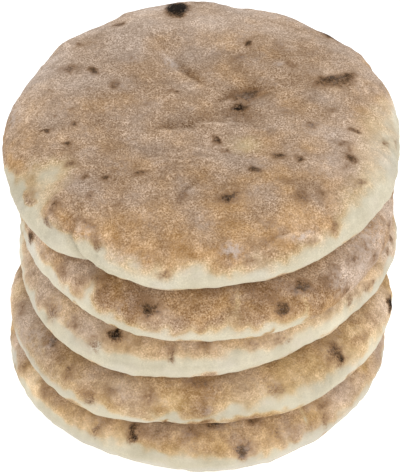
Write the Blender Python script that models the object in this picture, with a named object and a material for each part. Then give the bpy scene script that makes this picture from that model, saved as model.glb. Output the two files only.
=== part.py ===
"""A stack of five pita breads.

Units are metres and +Z is up. The origin is the centre of the stack's underside, so the
stack stands on Z = 0. Each bread is one closed solid: a round cushion with a full, rounded
rim, a little out of round, and flat where it rests on its neighbour. A bread's outline is
its radius plus a few broad lobes and a few short pinches at the rim. The stack is seen best
from -Y, and directions are in degrees counter-clockwise from +X.
"""

import math

import bmesh
import bpy
import numpy as np

MM = 0.001

# One bread's cross-section, measured from its equator, the widest level of its rim.
SPACING = 25.0 * MM  # from one bread's equator to the next
CONTACT_GAP = 0.3 * MM  # left between touching crusts
FOOT_DEPTH = 10.9 * MM  # equator to the flat underside
TOP_HEIGHT = SPACING - FOOT_DEPTH - CONTACT_GAP  # equator to the flat top of a covered bread
SHOULDER_RISE = 14.4 * MM  # crown that a covered bread would have without its flat top
CROWN_RISE = 15.0 * MM  # crown of the bread on top, which nothing presses flat
BELLY_DROP = 11.3 * MM  # the same below the equator
SHOULDER_FULLNESS = 6.0  # 2 is an ellipse, and a higher power is a squarer shoulder
BELLY_FULLNESS = 8.0
DIMPLE_DEPTH = 1.4 * MM  # the shallow hollow in the crown of the top bread
DIMPLE_SPREAD = 14.0 * MM
DIMPLE_PLACE = (-5.0 * MM, 30.0 * MM)  # from the bread's own centre

AROUND = 64  # faces round each rim
FROM_TOP_TO_FOOT = 16  # rows of faces from the crown to the underside

# Each bread, from the top of the stack down. Centres are in the stack's own plane.
# A lobe is how many times it repeats round the rim, its height and one of its crests.
# A pinch is its direction, its half width along the rim in degrees and its height.
BREADS = (
    {
        "name": "top_pita",
        "radius": 75.0 * MM,
        "centre": (0.0 * MM, 1.0 * MM),
        "lobes": ((2, 1.4 * MM, 65), (3, 0.6 * MM, -20), (6, 0.3 * MM, -30), (9, 0.5 * MM, 18)),
        "pinches": (
            (234, 4, -3.0 * MM),
            (227, 5, 1.0 * MM),
            (148, 5, -0.8 * MM),
            (135, 6, 0.7 * MM),
            (112, 6, 1.0 * MM),
            (80, 5, -1.8 * MM),
            (54, 4, -1.0 * MM),
            (36, 7, 1.8 * MM),
        ),
        "crust": (0.42, 0.285, 0.19),
    },
    {
        "name": "second_pita",
        "radius": 72.5 * MM,
        "centre": (1.9 * MM, -2.6 * MM),
        "lobes": ((2, 1.4 * MM, 78), (3, 0.3 * MM, 25), (5, 0.5 * MM, 24), (8, 0.5 * MM, -19)),
        "pinches": (),
        "crust": (0.44, 0.30, 0.20),
    },
    {
        "name": "third_pita",
        "radius": 71.8 * MM,
        "centre": (0.0 * MM, 1.5 * MM),
        "lobes": ((2, 1.6 * MM, 35), (3, 2.5 * MM, 3), (5, 0.4 * MM, 12)),
        "pinches": ((-54, 6, -0.8 * MM), (-33, 7, -0.9 * MM)),
        "crust": (0.45, 0.31, 0.21),
    },
    {
        "name": "fourth_pita",
        "radius": 72.2 * MM,
        "centre": (-0.8 * MM, -0.8 * MM),
        "lobes": ((2, 1.2 * MM, 30), (3, 2.3 * MM, -24), (6, 0.9 * MM, -4)),
        "pinches": ((257, 4, -1.4 * MM), (266, 5, 0.6 * MM)),
        "crust": (0.43, 0.295, 0.20),
    },
    {
        "name": "bottom_pita",
        "radius": 72.1 * MM,
        "centre": (-1.4 * MM, 0.3 * MM),
        "lobes": ((2, 1.4 * MM, 6), (4, 0.7 * MM, 12), (6, 0.3 * MM, -23)),
        "pinches": (),
        "crust": (0.46, 0.32, 0.21),
    },
)


def clear_scene():
    """Removes what a new Blender scene starts with."""
    for item in list(bpy.data.objects):
        bpy.data.objects.remove(item)


def turn_between(angle, direction):
    """The turn in degrees from a direction to an angle in radians, between -180 and 180."""
    return (np.degrees(angle) - direction + 180.0) % 360.0 - 180.0


def rim_radius(bread, angle):
    """The bread's radius at the equator: its mean, plus cosine lobes, plus bell-shaped pinches."""
    radius = np.full_like(angle, bread["radius"])
    for repeats, height, crest in bread["lobes"]:
        radius += height * np.cos(repeats * (angle - math.radians(crest)))
    for direction, half_width, height in bread["pinches"]:
        radius += height * np.exp(-((turn_between(angle, direction) / half_width) ** 2))
    return radius


def stack_middle():
    """The middle, in plan, of the box around all the rims."""
    angle = np.radians(np.arange(AROUND) * 360.0 / AROUND)
    corners = []
    for bread in BREADS:
        radius = rim_radius(bread, angle)
        across = bread["centre"][0] + radius * np.cos(angle)
        along = bread["centre"][1] + radius * np.sin(angle)
        corners.append((across.min(), across.max(), along.min(), along.max()))
    corners = np.array(corners)
    middle_x = (corners[:, 0].min() + corners[:, 1].max()) / 2
    middle_y = (corners[:, 2].min() + corners[:, 3].max()) / 2
    return middle_x, middle_y


def bread_surface(bread, on_top, sphere):
    """Points of a unit sphere moved onto the bread.

    A point's latitude gives its level: the rise, or the drop, times the sine. The fullness
    turns the cosine into the part of the rim's radius that is reached at that level. Levels
    past a contact face are cut off flat.
    """
    angle = np.arctan2(sphere[:, 1], sphere[:, 0])
    sine = np.clip(sphere[:, 2], -1.0, 1.0)
    cosine = np.sqrt(1.0 - sine**2)
    above = sine > 0
    fullness = np.where(above, SHOULDER_FULLNESS, BELLY_FULLNESS)
    radius = rim_radius(bread, angle) * cosine ** (2.0 / fullness)
    rise = CROWN_RISE if on_top else SHOULDER_RISE
    level = sine * np.where(above, rise, BELLY_DROP)
    x = radius * np.cos(angle)
    y = radius * np.sin(angle)
    if on_top:
        away = np.hypot(x - DIMPLE_PLACE[0], y - DIMPLE_PLACE[1]) / DIMPLE_SPREAD
        level = level - np.where(above, DIMPLE_DEPTH * np.exp(-(away**2)), 0.0)
    else:
        level = np.minimum(level, TOP_HEIGHT)
    level = np.maximum(level, -FOOT_DEPTH)
    return np.column_stack((x, y, level))


def crust_material(bread):
    """A dull, dry, floury crust."""
    material = bpy.data.materials.new(bread["name"] + "_crust")
    material.use_nodes = True
    shader = material.node_tree.nodes["Principled BSDF"]
    shader.inputs["Base Color"].default_value = (*bread["crust"], 1.0)
    shader.inputs["Roughness"].default_value = 0.85
    shader.inputs["Metallic"].default_value = 0.0
    return material


def make_bread(bread, on_top, place, collection):
    """One bread as a sphere of faces reshaped into a cushion, standing at its place."""
    shape = bmesh.new()
    bmesh.ops.create_uvsphere(shape, u_segments=AROUND, v_segments=FROM_TOP_TO_FOOT, radius=1.0)
    sphere = np.array([tuple(vertex.co) for vertex in shape.verts])
    for vertex, point in zip(shape.verts, bread_surface(bread, on_top, sphere)):
        vertex.co = point
    mesh = bpy.data.meshes.new(bread["name"])
    shape.to_mesh(mesh)
    shape.free()
    mesh.shade_smooth()
    mesh.materials.append(crust_material(bread))
    solid = bpy.data.objects.new(bread["name"], mesh)
    solid.location = place
    collection.objects.link(solid)


def main():
    clear_scene()
    collection = bpy.data.collections.new("stack_of_pita_breads")
    bpy.context.scene.collection.children.link(collection)
    middle_x, middle_y = stack_middle()
    for index, bread in enumerate(BREADS):
        below = len(BREADS) - 1 - index
        place = (
            bread["centre"][0] - middle_x,
            bread["centre"][1] - middle_y,
            FOOT_DEPTH + below * SPACING,
        )
        make_bread(bread, index == 0, place, collection)


main()
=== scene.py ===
# %% [markdown]
# # A stack of five pita breads
# Five round flat breads lie on top of each other. Each one is a puffed disc with a thin pale rim, a browned and
# floury crust, and a few scorched spots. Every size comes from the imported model, which is loaded first. The breads
# are then made again as fine meshes, because their looks are in small things: lumps, creases, spots and flour.

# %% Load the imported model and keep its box
import math

import bpy
import numpy as np
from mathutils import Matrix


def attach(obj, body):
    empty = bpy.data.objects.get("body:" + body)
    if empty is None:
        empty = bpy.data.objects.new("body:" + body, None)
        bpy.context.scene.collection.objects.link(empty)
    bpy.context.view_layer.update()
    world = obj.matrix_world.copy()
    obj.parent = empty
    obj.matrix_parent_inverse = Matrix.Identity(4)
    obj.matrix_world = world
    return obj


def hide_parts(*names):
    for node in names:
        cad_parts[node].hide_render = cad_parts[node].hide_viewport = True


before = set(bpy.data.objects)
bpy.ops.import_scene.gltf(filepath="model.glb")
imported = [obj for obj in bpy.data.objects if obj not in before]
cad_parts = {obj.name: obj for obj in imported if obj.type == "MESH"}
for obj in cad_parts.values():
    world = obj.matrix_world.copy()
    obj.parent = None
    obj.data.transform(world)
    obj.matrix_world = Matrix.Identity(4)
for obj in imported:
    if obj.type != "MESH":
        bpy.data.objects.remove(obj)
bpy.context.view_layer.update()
MM = 0.001
print("nodes:", sorted(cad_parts))

# %% [markdown]
# ## The camera
# The stack is looked down on from a little less than half way between level and straight down, through a long lens,
# so that the breads show almost no perspective. The camera's place is the target plus the distance times
# (0, -cos(tilt), sin(tilt)). A long lens far away, and not a short one near by, keeps the five rims nearly as wide
# as each other.

# %% Camera
TILT = math.radians(43.16)
DISTANCE = 1.20
TARGET = np.array((-0.0006, -0.0009, 0.0636))
away = DISTANCE * np.array((0.0, -math.cos(TILT), math.sin(TILT)))
camera = bpy.data.objects.new("Camera", bpy.data.cameras.new("Camera"))
bpy.context.scene.collection.objects.link(camera)
camera.data.lens = 239.05
camera.location = TARGET + away
camera.rotation_euler = (math.pi / 2 - TILT, 0.0, 0.0)
bpy.context.scene.camera = camera
print("camera at", [round(value, 3) for value in camera.location])

# %% [markdown]
# ## Reading a bread's outline
# No two breads are quite round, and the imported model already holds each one's outline. Its widest ring of points is
# read off the node: the angle and the radius of each point, seen from the ring's own middle. A smooth curve is then
# drawn through them. Reading the outline, and not writing it down again here, keeps the fine bread exactly where the
# plain one is.

# %% Outline, middle and heights of one node
def node_points(node):
    """All corner points of the node's mesh, in millimetres."""
    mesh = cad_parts[node].data
    flat = np.empty(len(mesh.vertices) * 3, np.float32)
    mesh.vertices.foreach_get("co", flat)
    return flat.reshape(-1, 3).astype(float) / MM


def read_outline(node):
    """The middle, ring angles and radii, rise and drop of a node.

    The ring is every point at the level of the point that is farthest from the middle of the box. Each of its points
    faces another straight across the middle, so the middle is the least-squares crossing of all the lines between
    facing points: n . middle = n . point, with n square to the line. Rise and drop are the heights from the ring up
    to the top and down to the foot.
    """
    points = node_points(node)
    low, high = points.min(axis=0), points.max(axis=0)
    box_middle = (low + high)[:2] / 2
    away = np.hypot(*(points[:, :2] - box_middle).T)
    level = points[away.argmax(), 2]
    ring = np.unique(np.round(points[np.abs(points[:, 2] - level) < 0.05, :2], 3), axis=0)
    ring = ring[np.arctan2(*(ring - box_middle).T[::-1]).argsort()]
    half = len(ring) // 2
    across = ring[half:] - ring[:half]
    square = np.stack((-across[:, 1], across[:, 0]), axis=-1) / np.linalg.norm(across, axis=1)[:, None]
    middle = np.linalg.lstsq(square, (square * ring[:half]).sum(axis=1), rcond=None)[0]
    angle = np.arctan2(*(ring - middle).T[::-1])
    return {
        "middle": np.array((middle[0], middle[1], level)),
        "angle": np.sort(angle),
        "radius": np.hypot(*(ring - middle).T)[angle.argsort()],
        "rise": high[2] - level,
        "drop": level - low[2],
    }


STACK = ("bottom_pita", "fourth_pita", "third_pita", "second_pita", "top_pita")
outlines = {node: read_outline(node) for node in STACK}
for node, outline in outlines.items():
    print(
        f"{node}: {len(outline['angle'])} ring points, mean radius {outline['radius'].mean():.1f} mm, "
        f"middle {np.round(outline['middle'], 1)}, up {outline['rise']:.1f} mm, down {outline['drop']:.1f} mm"
    )

# %% [markdown]
# ## Soft unevenness
# Dough is never even, but its unevenness is smooth. Sculpting it by hand would take long, and a noise texture on a
# modifier can't be used for both the shape and the colour. Here it is a sum of a few dozen cosine waves that run in
# random directions. The waves are fixed by a seed, so the same lumps come out each time, and the same field can
# raise the surface and tint it.

# %% Ripples, steps and spots
def ripple(places, size, seed, waves=28):
    """A smooth random field with mean 0 and spread 1.

    It is the sum of cos(k . p + phase) over the waves, divided by the root of half their number. Each k points in a
    random direction and its wavelength is 0.7 to 1.4 times the size.
    """
    dice = np.random.default_rng(seed)
    ways = dice.normal(size=(waves, 3))
    ways /= np.linalg.norm(ways, axis=1, keepdims=True)
    lengths = size * dice.uniform(0.7, 1.4, waves)
    phases = dice.uniform(0.0, 2.0 * np.pi, waves)
    turns = places @ (ways * (2.0 * np.pi / lengths)[:, None]).T + phases
    return np.cos(turns).sum(axis=-1) / math.sqrt(waves / 2.0)


def smooth_step(value, low, high):
    """0 below low, 1 above high, and 3x^2 - 2x^3 between, where x is the share of the way."""
    share = np.clip((value - low) / (high - low), 0.0, 1.0)
    return share * share * (3.0 - 2.0 * share)


def soft_least(first, second, softness):
    """The smaller of two values with the corner rounded: -s log(exp(-a / s) + exp(-b / s))."""
    return -softness * np.logaddexp(-first / softness, -second / softness)


def around_ring(direction, knots):
    """A value for every direction, in straight steps between the knots (degrees, value), and round again."""
    degrees, values = np.array(sorted(knots), float).T
    degrees = np.concatenate((degrees[-1:] - 360.0, degrees, degrees[:1] + 360.0))
    values = np.concatenate((values[-1:], values, values[:1]))
    return np.interp((direction + 180.0) % 360.0 - 180.0, degrees, values)


# %% [markdown]
# ## The bread as a surface of two parameters
# A puffed bread is a disc whose edge is rounder than a coin's and flatter than a ball's. One parameter is the
# direction round the bread, and the other is the latitude, from the foot up to the crown. At latitude t the surface
# is at the outline's radius times cos(t) to a small power, which makes the full shoulder, and at the height
# sin(t) times the rise or the drop. The rows are spread by the length of crust between them, close together on the
# rim, where most of the look is, and wider apart where two breads touch.

# %% The smooth crust
SHOULDER_FULLNESS = 6.0
BELLY_FULLNESS = 8.0
SHOULDER_RISE = 14.4
CROWN_RISE = 15.0
BELLY_DROP = 11.3
AROUND = 600
DIMPLE = {"place": (-5.0, 30.0), "spread": 14.0, "depth": 1.4}


def latitude_rows():
    """Latitudes from foot to crown, and the length of crust from the rim to each, for a radius of 72 mm.

    The lengths come from summing short steps along the profile. They run from the foot in steps of 1.6 mm, then
    1.0 mm round the rim and over the shoulder, and 1.1 mm over the crown.
    """
    fine = np.sin(np.linspace(-np.pi / 2, np.pi / 2, 40001)) * np.pi / 2
    across = 72.0 * np.cos(fine) ** (2.0 / np.where(fine > 0, SHOULDER_FULLNESS, BELLY_FULLNESS))
    up = np.sin(fine) * np.where(fine > 0, SHOULDER_RISE, BELLY_DROP)
    length = np.concatenate(((0.0,), np.cumsum(np.hypot(np.diff(across), np.diff(up)))))
    length -= np.interp(0.0, fine, length)
    low, high = length[0], length[-1]
    reach = np.concatenate(
        (
            np.linspace(low + 1.2, -24.0, 36, endpoint=False),
            np.linspace(-24.0, 30.0, 58, endpoint=False),
            np.linspace(30.0, high - 0.8, 42),
        )
    )
    return np.interp(reach, length, fine), reach


def smooth_crust(outline, on_top):
    """Grid of points (rows, columns, 3) of one bread around its own middle, in millimetres.

    radius(t, a) = outline(a) cos(t)^(2 / fullness), height(t) = sin(t) rise above the rim, sin(t) drop below it,
    held under the contact faces with a rounded corner. The outline between the ring's points is a cubic curve.
    """
    latitude, reach = latitude_rows()
    direction = np.linspace(-180.0, 180.0, AROUND, endpoint=False)
    radius = outline_curve(outline, np.radians(direction))
    above = latitude > 0
    share = np.cos(latitude) ** (2.0 / np.where(above, SHOULDER_FULLNESS, BELLY_FULLNESS))
    full_rise = CROWN_RISE if on_top else SHOULDER_RISE
    height = np.sin(latitude) * np.where(above, full_rise, BELLY_DROP)
    if not on_top:
        height = soft_least(height, outline["rise"], 0.12)
    height = -soft_least(-height, outline["drop"], 0.10)
    angle = np.radians(direction)
    grid = np.empty((latitude.size, AROUND, 3))
    grid[..., 0] = share[:, None] * radius * np.cos(angle)
    grid[..., 1] = share[:, None] * radius * np.sin(angle)
    grid[..., 2] = height[:, None]
    if on_top:
        far = np.hypot(grid[..., 0] - DIMPLE["place"][0], grid[..., 1] - DIMPLE["place"][1])
        grid[..., 2] -= above[:, None] * DIMPLE["depth"] * np.exp(-((far / DIMPLE["spread"]) ** 2))
    return grid, direction[None, :] + 0.0 * reach[:, None], reach[:, None] + 0.0 * direction[None, :]


def outline_curve(outline, angle):
    """Radius at any angle: the cubic through the four nearest ring points (Catmull-Rom)."""
    ring_angle, ring_radius = outline["angle"], outline["radius"]
    count = ring_angle.size
    start = ring_angle[0]
    place = ((angle - start) % (2.0 * np.pi)) / (2.0 * np.pi) * count
    index = np.floor(place).astype(int)
    share = place - index
    before, here, after, beyond = (ring_radius[(index + step) % count] for step in (-1, 0, 1, 2))
    return here + 0.5 * share * (
        after - before
        + share * (2.0 * before - 5.0 * here + 4.0 * after - beyond + share * (3.0 * (here - after) + beyond - before))
    )


def outward(grid):
    """Unit normals of the grid: the cross product of its steps around and its steps up."""
    around = np.roll(grid, -1, axis=1) - np.roll(grid, 1, axis=1)
    up = np.gradient(grid, axis=0)
    normal = np.cross(around, up)
    return normal / np.linalg.norm(normal, axis=-1, keepdims=True)


crusts = {}
for node in STACK:
    grid, direction, reach = smooth_crust(outlines[node], node == "top_pita")
    crusts[node] = {"grid": grid, "direction": direction, "reach": reach, "normal": outward(grid)}
print("grid of each bread:", crusts["top_pita"]["grid"].shape[:2], "rows and columns")
print("crown stands", round(float(crusts["top_pita"]["grid"][..., 2].max()), 2), "mm above the rim")

# %% [markdown]
# ## Where the crust is brown
# The rim of a pita stays pale, because it is bent away from the oven floor and the heat. The brown begins some
# millimetres above the widest line, and its edge is a ragged one: it runs down in tongues and up in pale wedges. So
# the edge is given as a height for each direction, and thin ripples that are stretched upwards make the tongues. The
# sides that nobody sees first get an edge of the same kind.

# %% The edge of the brown: (direction, crust in mm from the widest line up to the edge, mm from pale to full brown)
BROWN_EDGE = {
    "top_pita": (
        (-178, -3, 4), (-170, -1, 5), (-165, 3, 5), (-160, 5, 5), (-155, 7, 6), (-150, 6.5, 5), (-147, 7, 13),
        (-142, 7, 13), (-139.5, 6, 4), (-135, 6.5, 4), (-128, 3, 5), (-122, 4, 5), (-118, 5.5, 7), (-113, 3, 10),
        (-107, 3.5, 10), (-101, 1.5, 10), (-96, 3, 10), (-91, 5.5, 8), (-86, 2.5, 10), (-82, 0.5, 8), (-76, 2.5, 8),
        (-70, 2.5, 9), (-63, 3.2, 10), (-57, 3.4, 8), (-52, 5, 8), (-48.5, 3, 6), (-45, 6.5, 10), (-40, 6, 14),
        (-33, 5, 16), (-25, 4.5, 18), (-15, 4, 18), (-5, 3, 17), (5, 2, 16), (15, 1, 12), (30, -1, 8),
        (60, -2, 6), (90, -2, 6), (130, -2, 6), (160, -2, 5),
    ),
    "second_pita": (
        (-172, 1, 6), (-165, 3.5, 6), (-155, 4, 5), (-147, 3.5, 5), (-140, 2, 5), (-131, 1.6, 5), (-127, 3, 9),
        (-122, 2, 4), (-110, 1.4, 5), (-100, 0.4, 6), (-92, 0, 6), (-88, 1, 7), (-84, 2, 11), (-80, 0.6, 7),
        (-70, 0.6, 6), (-66, -0.5, 6), (-61, -1, 9), (-57, -4, 6), (-50, -6, 6), (-46, -8, 6), (-35, -8, 6),
        (-15, -7, 6), (0, -3, 6), (20, 1, 6), (60, 2, 7), (100, 1, 6), (140, 3, 7),
    ),
    "third_pita": (
        (-178, 3, 8), (-168, 3, 7), (-158, 0.8, 5), (-152, 4, 6), (-146, 1, 5), (-140, 4, 6), (-130, 4.5, 6),
        (-120, 4.5, 6), (-110, 5.8, 6), (-100, 5, 5), (-90, 5.8, 6), (-80, 5, 6), (-72, 4.2, 6), (-66, 4.2, 7),
        (-58, 4.5, 8), (-50, 3.5, 9), (-40, 3.5, 10), (-30, 2.5, 10), (-24, 1.5, 6), (-15, 3, 9), (-5, 2, 8),
        (5, 2, 6), (40, 3, 7), (90, 1, 6), (130, 3, 7),
    ),
    "fourth_pita": (
        (-175, -2, 6), (-160, 0.6, 6), (-140, 1.5, 6), (-130, 1.8, 6), (-120, 1.5, 6), (-111, 0, 6), (-105, -2, 7),
        (-98, 1, 6), (-92, -2, 6), (-87, -1, 6), (-84, 2.5, 6), (-80, 4, 6), (-76, 4, 7), (-70, 5, 10),
        (-66, 5.5, 10), (-56, 5.5, 10), (-48, 4.5, 9), (-41, 4, 6), (-35, 2, 8), (-25, 2, 9), (-15, 0, 7),
        (0, 0, 6), (50, 3, 7), (100, 1, 6), (140, 2, 7),
    ),
    "bottom_pita": (
        (-176, 0, 5), (-168, 4.5, 8), (-162, 0, 6), (-156, 4.5, 9), (-148, 2.8, 7), (-140, 3.2, 7), (-130, 3.6, 6),
        (-120, 4.2, 8), (-112, 5, 8), (-104, 4.8, 6), (-95, 4.6, 6), (-84, 4, 6), (-76, 2, 5), (-68, 1.8, 6),
        (-60, 2, 6), (-50, 1, 6), (-46, 0.5, 7), (-38, 1.2, 9), (-28, 1.5, 9), (-20, 0, 6), (-10, 0, 6),
        (20, 0, 6), (60, 2, 7), (110, 1, 6), (150, 3, 7),
    ),
}


# Browned patches under the rim, also painted as shadow for the dark gaps between the breads: (direction, crust in mm
# from the widest line, half span, half height, strength)
UNDER_RIM = {
    "top_pita": (
        (-149, 7.5, 3.4, 2.8, 0.9), (-66, -5.5, 6, 1.8, 0.8), (-97, -5.5, 6, 1.6, 0.6), (-112, -5.5, 3, 1.4, 0.5), (-42, -4.5, 6, 1.6, 0.4),
    ),
    "second_pita": (
        (-96, -5.5, 5, 2.0, 0.7), (-72, -3.2, 1.3, 2.8, 0.6), (-78, -5.5, 1.6, 1.6, 0.5), (-117, -4.8, 2, 1.6, 0.8),
        (-57, -3, 5, 3.4, 0.7), (-132, -3.5, 1.2, 1.6, 0.4),
    ),
    "third_pita": (
        (-88, -4.2, 3.2, 2.6, 1.2), (-45, -3, 3.4, 2.2, 0.7), (-102, -5, 3, 1.6, 0.7), (-138, -3.4, 3.5, 1.4, 0.7),
        (-123, -4.5, 2.5, 1.6, 0.6), (-62, -4.5, 3, 1.6, 0.5), (-72, -4.5, 2, 2, 0.4),
    ),
    "fourth_pita": (
        (-89, -4.2, 4, 3.0, 1.3), (-73, -3.4, 11, 3.0, 0.95), (-101, -4.8, 1.8, 2.2, 1.1), (-36, -2.6, 3, 1.8, 0.8),
        (-129, -3.2, 3, 1.8, 0.8), (-60, -4, 6, 2, 0.5),
    ),
    "bottom_pita": ((-47, -2.6, 2, 1.6, 0.3), (-162, -1, 2.5, 2, 0.6)),
}


def browning(node, seed):
    """0 on pale dough and 1 on full crust, how far each point is past the edge, in widths, and the patches under the
    rim, which are browned and also painted as shadow.

    Where the width is small, half of the browning comes round the edge itself, within half a width of it, as a cream
    and golden line, and the rest over the width. Where it is wide, all of it comes slowly. The edge is moved by
    ripples about 16 and 7 mm wide, and by thin ones which change three times more slowly up the crust than along
    it, so that it breaks into short tongues. Under the bread the crust browns again past 13 mm below the widest
    line, and in a few patches right under the rim: exp(-(u^2 + v^2)^1.4), u and v in half spans and half heights.
    """
    crust = crusts[node]
    grid, reach, direction = crust["grid"], crust["reach"], crust["direction"]
    upright = np.stack((grid[..., 0], grid[..., 1], 0.33 * reach), axis=-1)
    edge = around_ring(direction, [(knot[0], knot[1]) for knot in BROWN_EDGE[node]])
    width = around_ring(direction, [(knot[0], knot[2]) for knot in BROWN_EDGE[node]])
    edge = edge + 0.4 * ripple(grid, 16.0, seed) + 0.7 * ripple(grid, 7.0, seed + 1)
    edge = edge + 0.22 * ripple(upright, 4.0, seed + 2)
    past = (reach - edge) / width
    quick = 0.5 - 0.5 * smooth_step(width, 10.0, 15.0)
    above = quick * smooth_step(past, -0.50, 0.50) + (1.0 - quick) * np.clip(past, 0.0, 1.0)
    below = 0.9 * smooth_step(-reach + 2.0 * ripple(grid, 12.0, seed + 4), 13.0, 24.0)
    patches = np.zeros(reach.shape)
    for towards, low, half_span, half_height, strength in UNDER_RIM[node]:
        inside = ((direction - towards + 0.8 * ripple(grid, 4.0, seed + 5)) / half_span) ** 2
        inside += ((reach - low + 0.5 * ripple(grid, 5.0, seed + 6)) / half_height) ** 2
        patches = np.maximum(patches, strength * np.exp(-(inside**1.4)))
    return np.maximum(np.maximum(above, below), patches), past, patches


for number, node in enumerate(STACK):
    crusts[node]["bake"], crusts[node]["past"], crusts[node]["patches"] = browning(node, 100 + 10 * number)
    print(node, "browned share of the crust:", round(float(crusts[node]["bake"].mean()), 2))
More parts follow.
